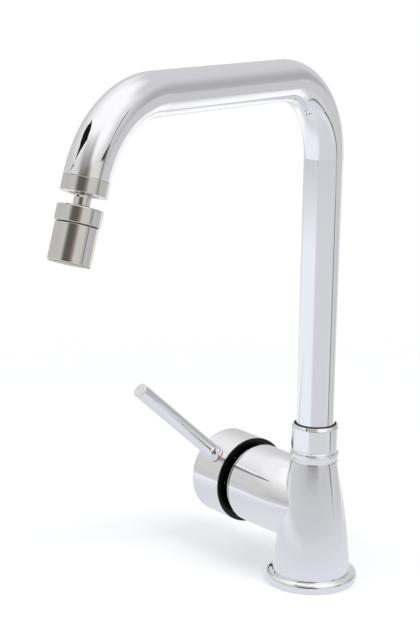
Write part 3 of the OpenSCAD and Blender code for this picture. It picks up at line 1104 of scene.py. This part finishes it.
@dataclass
class Studio:
    """A white tent: floor, soft lamps, and walls that polished metal reflects.

    Lengths are metres. The floor fades from floor_fade to floor_clear away from the foot, and what metal
    mirrors of it between the values of mirrored_fade. The levels are the tent's tone by elevation, and the
    walls lie over them.
    """

    floor_radius: float = 0.75
    floor_fade: float = 0.35
    floor_clear: float = 0.735
    floor_colour: Colour = (0.86, 0.87, 0.88)
    floor_lift: float = 0.22
    mirrored_floor: Colour = paper(212, 213, 218)
    mirrored_gain: float = 1.07
    mirrored_near: tuple[float, float] = (0.05, 0.16)
    mirrored_fade: tuple[float, float] = (0.12, 0.35)
    ambient: float = 0.62
    levels: Sequence[tuple[float, Colour]] = field(default_factory=lambda: (
        (-90.0, paper(228, 228, 236)),
        (-60.0, paper(230, 230, 237)),
        (-20.0, paper(216, 218, 222)),
        (-9.0, paper(204, 205, 208)),
        (-3.0, paper(197, 198, 201)),
        (3.0, paper(184)),
        (12.0, paper(196, 196, 195)),
        (35.0, paper(222, 222, 221)),
        (55.0, paper(250)),
        (90.0, paper(252)),
    ))
    walls: Sequence[Band | Flag] = field(default_factory=lambda: (
        Band(-82.0, -38.0, 52.0, 29.0, 8.0, 2.0, paper(232, 236, 242)),
        Band(-148.0, -36.0, 18.0, 22.0, 9.0, 9.0, paper(250)),
        Band(20.0, -36.0, 42.0, 27.5, 8.0, 2.5, paper(207, 209, 213)),
        Band(100.0, -30.0, 22.0, 26.0, 8.0, 8.0, paper(205, 205, 208)),
        Band(152.0, -27.0, 25.0, 22.0, 9.0, 9.0, paper(252)),
        Band(140.0, 28.0, 44.0, 30.0, 12.0, 12.0, paper(204, 204, 206)),
        Band(118.0, 12.0, 22.0, 14.0, 12.0, 12.0, paper(172, 172, 174)),
        Band(114.0, -11.0, 20.0, 13.0, 8.0, 1.4, paper(198, 198, 200)),
        Band(-112.0, 9.0, 34.0, 10.0, 14.0, 8.0, paper(203, 203, 202)),
        Band(-138.0, 52.0, 40.0, 9.0, 14.0, 5.0, paper(238)),
        Band(-16.0, 42.0, 36.0, 14.0, 12.0, 10.0, paper(196)),
        Band(-12.0, 28.0, 25.0, 14.0, 12.0, 10.0, paper(150, 147, 142)),
        Band(-6.0, 16.0, 26.0, 13.0, 12.0, 5.0, paper(100, 96, 91)),
        Band(15.0, 16.0, 8.0, 12.0, 5.0, 4.0, paper(140, 130, 122)),
        Band(42.0, 17.0, 20.0, 15.0, 10.0, 4.0, paper(214, 214, 208)),
        Band(40.0, 46.0, 24.0, 16.0, 12.0, 12.0, paper(251)),
        Flag(((90.0, 36.0), (86.0, 25.0), (72.0, 12.0), (70.0, 15.0), (78.0, 22.0)), 1.0, paper(60)),
        Flag(((56.0, 17.0), (70.0, 10.0), (76.0, 16.0)), 1.0, paper(60)),
        Flag(((71.0, 14.0), (77.0, 14.0), (75.0, 0.0), (71.0, 0.0)), 1.2, paper(110)),
        Flag(((71.0, 1.0), (76.0, 1.0), (82.0, -8.0), (78.0, -8.0)), 1.2, paper(140)),
        Flag(((80.0, -8.0), (86.0, -8.0), (84.0, -24.0), (78.0, -24.0)), 1.5, paper(120)),
        Flag(((77.0, -22.0), (82.0, -22.0), (86.0, -36.0), (80.0, -38.0)), 1.5, paper(110)),
        Flag(((80.0, -34.0), (85.0, -34.0), (106.0, -40.0), (102.0, -44.0)), 1.5, paper(90)),
        Flag(((100.0, -40.0), (106.0, -40.0), (128.0, -54.0), (122.0, -56.0)), 1.5, paper(90)),
    ))
    cards: Sequence[Card] = field(default_factory=lambda: (
        Card("black_card", (
            (0.009, 0.055), (-0.031, 0.057), (-0.062, 0.049), (-0.056, 0.014), (-0.057, -0.016),
            (-0.030, -0.019), (0.004, -0.004), (0.024, 0.010), (0.034, 0.024),
        ), paper(24)),
        Card("grey_card", ((-0.057, -0.016), (-0.036, -0.018), (-0.006, -0.059)), paper(70)),
    ))
    lamps: Sequence[Lamp] = field(default_factory=lambda: (
        Lamp("key", 60.0, 52.0, 1.6, 0.9, 11.0),
        Lamp("fill", -70.0, 35.0, 1.8, 1.0, 7.0),
    ))

    def world(self) -> None:
        """Builds the world: white to the camera, even light to matt surfaces, the walls to polished ones."""
        world = bpy.data.worlds.new("tent")
        bpy.context.scene.world = world
        world.use_nodes = True
        tree = Tree(world.node_tree)
        sky = Sky(tree)
        wall = self.levels[0][1]
        for (low, _), (high, tone) in zip(self.levels, self.levels[1:]):
            wall = tree.blend(tree.fade(sky.elevation, low, high, 0.0, 1.0, Step.STRAIGHT), wall, tone)
        for area in self.walls:
            wall = tree.blend(area.mask(sky), wall, area.tone)
        light = tree.add("ShaderNodeLightPath")
        polished = tree.math("MAXIMUM", light.outputs["Is Glossy Ray"], light.outputs["Is Transmission Ray"])
        seen = tree.blend(polished, (self.ambient, self.ambient, self.ambient), wall)
        seen = tree.blend(light.outputs["Is Camera Ray"], seen, (1.0, 1.0, 1.0))
        background = tree.add("ShaderNodeBackground")
        tree.join(seen, background.inputs["Color"])
        tree.surface(background.outputs[0], "ShaderNodeOutputWorld")

    def floor_paper(self) -> bpy.types.Material:
        """Builds the floor's material.

        The camera sees lit paper that fades out towards the rim. Polished metal sees a plain tone near the
        foot, a little brighter at the contact, that fades out sooner.

        Returns:
            The material.
        """
        made, tree = new_material("floor_paper")
        away = tree.add("ShaderNodeVectorMath", operation="LENGTH")
        tree.join(tree.add("ShaderNodeTexCoord").outputs["Object"], away.inputs[0])
        reach = away.outputs["Value"]
        ray = tree.add("ShaderNodeLightPath")
        lit = tree.add("ShaderNodeBsdfDiffuse")
        lit.inputs["Color"].default_value = (*self.floor_colour, 1.0)
        lift = tree.glow((1.0, 1.0, 1.0))
        lifted = tree.math("MULTIPLY", ray.outputs["Is Camera Ray"], self.floor_lift)
        tree.join(lifted, lift.inputs["Strength"])
        both = tree.add("ShaderNodeAddShader")
        tree.join(lit.outputs[0], both.inputs[0])
        tree.join(lift.outputs[0], both.inputs[1])
        mirrored = tree.glow(self.mirrored_floor)
        gain = tree.fade(reach, *self.mirrored_near, self.mirrored_gain, 1.0)
        tree.join(gain, mirrored.inputs["Strength"])
        near = tree.mix_shader(ray.outputs["Is Glossy Ray"], both.outputs[0], mirrored.outputs[0])
        edge = tree.add("ShaderNodeMix", data_type="FLOAT")
        tree.join(ray.outputs["Is Glossy Ray"], edge.inputs[0])
        tree.join(tree.fade(reach, self.floor_fade, self.floor_clear, 0.0, 1.0), edge.inputs[2])
        tree.join(tree.fade(reach, *self.mirrored_fade, 0.0, 1.0), edge.inputs[3])
        clear = tree.add("ShaderNodeBsdfTransparent")
        tree.surface(tree.mix_shader(edge.outputs[0], near, clear.outputs[0]))
        return made

    def floor(self) -> bpy.types.Object:
        """Builds the floor: a disc at deck height that fades into the white ground and keeps the shadow.

        Returns:
            The floor object.
        """
        turns = np.linspace(0.0, 2.0 * math.pi, 64, endpoint=False)
        rim = np.stack([np.cos(turns), np.sin(turns), 0.0 * turns], 1) * self.floor_radius
        disc = sheet("floor", rim)
        disc.data.materials.append(self.floor_paper())
        return disc

    def build(self) -> list[str]:
        """Builds floor, cards, walls and lamps and gives their names."""
        self.floor()
        for card in self.cards:
            card.build()
        self.world()
        for lamp in self.lamps:
            lamp.build()
        return ["floor", "tent", *(thing.name for thing in (*self.lamps, *self.cards))]


@dataclass
class PhotoCamera:
    """The camera of the photograph, fitted to the faucet's own outline."""

    place: Vec3 = (0.722164, -0.645916, 0.393288)
    heading: float = 142.143
    look_down: float = 12.949
    roll: float = 0.917
    focal_pixels: float = 1614.3
    frame_height: float = 630.0
    sensor: float = 36.0

    def build(self) -> bpy.types.Object:
        """Builds the camera and makes it the scene's.

        Returns:
            The camera object.
        """
        turn, drop, lean = (math.radians(v) for v in (self.heading, self.look_down, self.roll))
        ahead = Vector((math.cos(turn) * math.cos(drop), math.sin(turn) * math.cos(drop), -math.sin(drop)))
        level = Vector((math.sin(turn), -math.cos(turn), 0.0))
        above = level.cross(ahead)
        right = math.cos(lean) * level + math.sin(lean) * above
        up = math.cos(lean) * above - math.sin(lean) * level
        data = bpy.data.cameras.new("photo_camera")
        data.sensor_width = self.sensor
        data.lens = self.focal_pixels / self.frame_height * self.sensor
        data.clip_start = 0.01
        camera = bpy.data.objects.new("photo_camera", data)
        bpy.context.scene.collection.objects.link(camera)
        facing = Matrix((right, up, -ahead)).transposed().to_4x4()
        camera.matrix_world = Matrix.Translation(Vector(self.place)) @ facing
        bpy.context.scene.camera = camera
        return camera


def main() -> None:
    """Builds the camera, the faucet's sub-assemblies and the studio, and logs the name of each piece."""
    logging.basicConfig(level=logging.INFO, format="%(message)s")
    bpy.context.scene.view_settings.view_transform = "Standard"
    PhotoCamera().build()
    for part in (Base(), Cartridge(), Handle(), Spout(), AeratorHead(), Studio()):
        for piece in part.build():
            LOG.info("%s: %s", type(part).__name__, piece)


if __name__ == "__main__":
    main()
